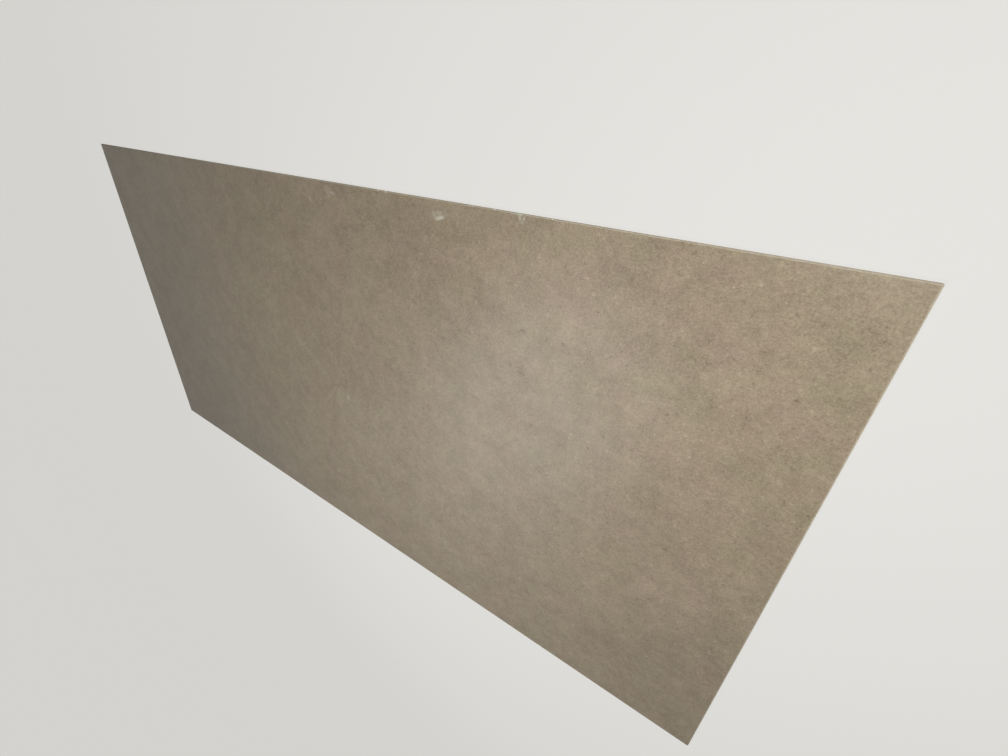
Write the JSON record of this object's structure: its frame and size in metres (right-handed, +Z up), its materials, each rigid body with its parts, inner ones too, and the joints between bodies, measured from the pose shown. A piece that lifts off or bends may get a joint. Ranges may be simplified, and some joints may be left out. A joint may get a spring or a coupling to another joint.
{
  "type": "hardboard sheet",
  "caption": "Flat rectangular sheet of hardboard with a smooth face, a screened back, sawn edges and light wear; raw stock for lining, backing and floor protection.",
  "frame": {"origin": "middle of the sheet's underside, its screened back", "axes": "+X along the sheet's length, +Y across its width, +Z up, out of the smooth face"},
  "size_m": [2.4384, 1.2192, 0.0063],
  "materials": {
    "hardboard": "hot-pressed wood fibre, smooth and satin on the face, pale and matt on the sawn edges"
  },
  "bodies": {
    "root": {"hardboard_sheet": "hardboard"}
  },
  "joints": []
}
